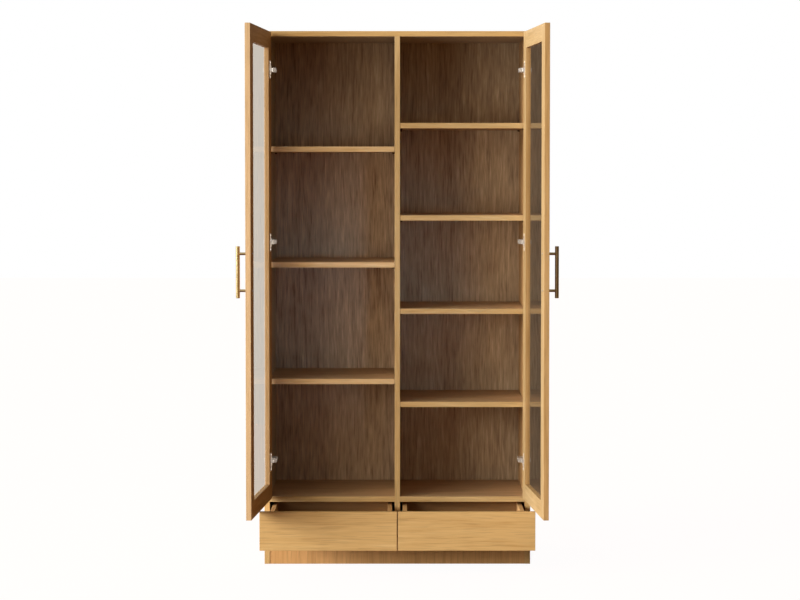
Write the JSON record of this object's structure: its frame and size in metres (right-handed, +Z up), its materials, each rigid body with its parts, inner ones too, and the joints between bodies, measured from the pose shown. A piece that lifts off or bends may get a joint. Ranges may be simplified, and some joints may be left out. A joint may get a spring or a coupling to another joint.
{
  "type": "bookcase with glass doors",
  "caption": "Tall freestanding oak bookcase with hinged glazed doors on bar handles, adjustable shelves behind them and pull-out drawers below.",
  "frame": {"origin": "on the floor under the middle of the carcass, on the underside of the centre support", "axes": "+Z up, +Y to the back, so the doors and drawers face -Y; +X to the right as seen from the front"},
  "size_m": [1.1362, 0.9354, 2],
  "materials": {
    "oak_side": "satin lacquered oak veneer",
    "oak_divider": "satin lacquered oak veneer",
    "oak_level": "satin lacquered oak veneer",
    "oak_deck": "satin lacquered oak veneer",
    "oak_shelf": "satin lacquered oak veneer",
    "oak_back": "satin lacquered oak veneer",
    "oak_stile": "satin lacquered solid oak",
    "oak_rail": "satin lacquered solid oak",
    "oak_bead": "satin lacquered solid oak",
    "oak_drawer_front": "satin lacquered oak veneer",
    "drawer_side_ply": "lacquered plywood",
    "drawer_back_ply": "lacquered plywood",
    "dowel_beech": "plain beech",
    "pane_glass": "clear polished glass",
    "handle_brass": "aged satin brass",
    "hinge_nickel": "satin nickel plate",
    "runner_zinc": "bright zinc plate",
    "screw_steel": "zinc plated steel"
  },
  "bodies": {
    "carcass": {"top_panel": "oak_level", "left_side_panel": "oak_side", "right_side_panel": "oak_side", "divider": "oak_divider", "bottom_panel": "oak_deck", "left_deck": "oak_deck", "right_deck": "oak_deck", "toe_board": "oak_level", "rear_plinth_rail": "oak_level", "centre_support": "oak_divider", "left_back_panel": "oak_back", "right_back_panel": "oak_back", "left_shelf_1": "oak_shelf", "left_shelf_2": "oak_shelf", "left_shelf_3": "oak_shelf", "right_shelf_1": "oak_shelf", "right_shelf_2": "oak_shelf", "right_shelf_3": "oak_shelf", "right_shelf_4": "oak_shelf", "shelf_pins": "screw_steel", "carcass_dowels": "dowel_beech", "back_screws": "screw_steel", "hinge_plates": "hinge_nickel", "hinge_arms": "hinge_nickel", "fixed_runners": "runner_zinc"},
    "left_door": {"left_door_hinge_stile": "oak_stile", "left_door_free_stile": "oak_stile", "left_door_top_rail": "oak_rail", "left_door_bottom_rail": "oak_rail", "left_door_glass": "pane_glass", "left_door_glass_bead": "oak_bead", "left_hinge_cups": "hinge_nickel", "left_handle": "handle_brass", "left_handle_screws": "screw_steel"},
    "left_hinge_links": {"left_hinge_links": "hinge_nickel"},
    "left_drawer": {"left_drawer_front": "oak_drawer_front", "left_drawer_outer_side": "drawer_side_ply", "left_drawer_inner_side": "drawer_side_ply", "left_drawer_back": "drawer_back_ply", "left_drawer_bottom": "drawer_back_ply", "left_drawer_runners": "runner_zinc"},
    "left_middle_runners": {"left_middle_runners": "runner_zinc"},
    "right_door": {"right_door_hinge_stile": "oak_stile", "right_door_free_stile": "oak_stile", "right_door_top_rail": "oak_rail", "right_door_bottom_rail": "oak_rail", "right_door_glass": "pane_glass", "right_door_glass_bead": "oak_bead", "right_hinge_cups": "hinge_nickel", "right_handle": "handle_brass", "right_handle_screws": "screw_steel"},
    "right_hinge_links": {"right_hinge_links": "hinge_nickel"},
    "right_drawer": {"right_drawer_front": "oak_drawer_front", "right_drawer_outer_side": "drawer_side_ply", "right_drawer_inner_side": "drawer_side_ply", "right_drawer_back": "drawer_back_ply", "right_drawer_bottom": "drawer_back_ply", "right_drawer_runners": "runner_zinc"},
    "right_middle_runners": {"right_middle_runners": "runner_zinc"}
  },
  "joints": [
    {"name": "left_door_swing", "type": "hinge", "parent": "carcass", "child": "left_door", "pos_m": [-0.4888, -0.23495, 1.1235], "axis": [0, 0, -1], "range_deg": [-95, 0]},
    {"name": "left_hinge_link_swing", "type": "hinge", "parent": "carcass", "child": "left_hinge_links", "pos_m": [-0.467, -0.2205, 1.1235], "axis": [0, 0, -1], "range_deg": [0, 60.8]},
    {"name": "left_drawer_slide", "type": "slide", "parent": "carcass", "child": "left_drawer", "axis": [0, -1, 0], "range_m": [-0.28, 0.1]},
    {"name": "left_runner_slide", "type": "slide", "parent": "carcass", "child": "left_middle_runners", "axis": [0, -1, 0], "range_m": [-0.14, 0.05]},
    {"name": "right_door_swing", "type": "hinge", "parent": "carcass", "child": "right_door", "pos_m": [0.4888, -0.23495, 1.1235], "axis": [0, 0, 1], "range_deg": [-95, 0]},
    {"name": "right_hinge_link_swing", "type": "hinge", "parent": "carcass", "child": "right_hinge_links", "pos_m": [0.467, -0.2205, 1.1235], "axis": [0, 0, 1], "range_deg": [0, 60.8]},
    {"name": "right_drawer_slide", "type": "slide", "parent": "carcass", "child": "right_drawer", "axis": [0, -1, 0], "range_m": [-0.28, 0.1]},
    {"name": "right_runner_slide", "type": "slide", "parent": "carcass", "child": "right_middle_runners", "axis": [0, -1, 0], "range_m": [-0.14, 0.05]}
  ],
  "couplings": [
    {"joint": "left_hinge_link_swing", "follows": "left_door_swing", "ratio": -0.64},
    {"joint": "left_runner_slide", "follows": "left_drawer_slide", "ratio": 0.5},
    {"joint": "right_hinge_link_swing", "follows": "right_door_swing", "ratio": -0.64},
    {"joint": "right_runner_slide", "follows": "right_drawer_slide", "ratio": 0.5}
  ]
}
